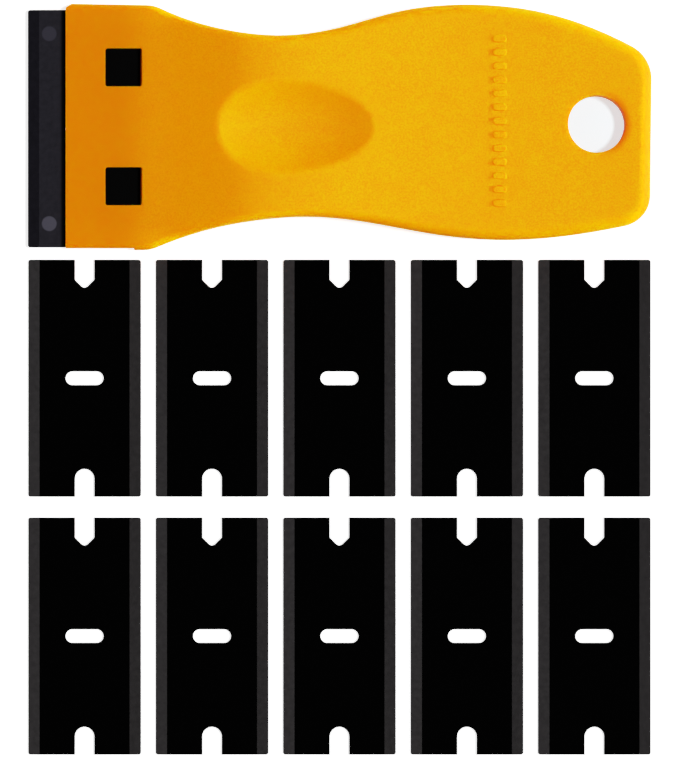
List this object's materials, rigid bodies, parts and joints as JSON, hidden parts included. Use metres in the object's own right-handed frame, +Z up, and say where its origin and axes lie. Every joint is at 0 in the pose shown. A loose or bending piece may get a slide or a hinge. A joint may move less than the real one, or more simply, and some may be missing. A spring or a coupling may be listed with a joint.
{
  "type": "algae scraper with spare blades",
  "caption": "Hand scraper: waisted plastic handle with a thumb rest and hanging hole, jaws that grip a double-edged plastic blade, and loose spare blades beside it.",
  "frame": {"origin": "on the surface the scraper lies on, under the handle's centre line, half way between the cutting edge and the tail", "axes": "+X from the blade to the hanging hole, +Z up through the hanging hole, the spare blades lie on the -Y side"},
  "size_m": [0.105, 0.1266, 0.0107],
  "materials": {
    "handle_plastic": "injection-moulded polypropylene, fine even texture",
    "blade_plastic": "moulded black engineering plastic, satin"
  },
  "bodies": {
    "handle": {"handle": "handle_plastic"},
    "fitted_blade": {"fitted_blade": "blade_plastic"},
    "spare_blade_01": {"spare_blade_01": "blade_plastic"},
    "spare_blade_02": {"spare_blade_02": "blade_plastic"},
    "spare_blade_03": {"spare_blade_03": "blade_plastic"},
    "spare_blade_04": {"spare_blade_04": "blade_plastic"},
    "spare_blade_05": {"spare_blade_05": "blade_plastic"},
    "spare_blade_06": {"spare_blade_06": "blade_plastic"},
    "spare_blade_07": {"spare_blade_07": "blade_plastic"},
    "spare_blade_08": {"spare_blade_08": "blade_plastic"},
    "spare_blade_09": {"spare_blade_09": "blade_plastic"},
    "spare_blade_10": {"spare_blade_10": "blade_plastic"}
  },
  "joints": [
    {"name": "blade_slide", "type": "slide", "parent": "handle", "child": "fitted_blade", "axis": [-1, 0, 0], "range_m": [0, 0.016]},
    {"name": "spare_blade_01_lift", "type": "slide", "parent": "handle", "child": "spare_blade_01", "axis": [0, 0, 1], "range_m": [0, 0.03]},
    {"name": "spare_blade_02_lift", "type": "slide", "parent": "handle", "child": "spare_blade_02", "axis": [0, 0, 1], "range_m": [0, 0.03]},
    {"name": "spare_blade_03_lift", "type": "slide", "parent": "handle", "child": "spare_blade_03", "axis": [0, 0, 1], "range_m": [0, 0.03]},
    {"name": "spare_blade_04_lift", "type": "slide", "parent": "handle", "child": "spare_blade_04", "axis": [0, 0, 1], "range_m": [0, 0.03]},
    {"name": "spare_blade_05_lift", "type": "slide", "parent": "handle", "child": "spare_blade_05", "axis": [0, 0, 1], "range_m": [0, 0.03]},
    {"name": "spare_blade_06_lift", "type": "slide", "parent": "handle", "child": "spare_blade_06", "axis": [0, 0, 1], "range_m": [0, 0.03]},
    {"name": "spare_blade_07_lift", "type": "slide", "parent": "handle", "child": "spare_blade_07", "axis": [0, 0, 1], "range_m": [0, 0.03]},
    {"name": "spare_blade_08_lift", "type": "slide", "parent": "handle", "child": "spare_blade_08", "axis": [0, 0, 1], "range_m": [0, 0.03]},
    {"name": "spare_blade_09_lift", "type": "slide", "parent": "handle", "child": "spare_blade_09", "axis": [0, 0, 1], "range_m": [0, 0.03]},
    {"name": "spare_blade_10_lift", "type": "slide", "parent": "handle", "child": "spare_blade_10", "axis": [0, 0, 1], "range_m": [0, 0.03]}
  ]
}
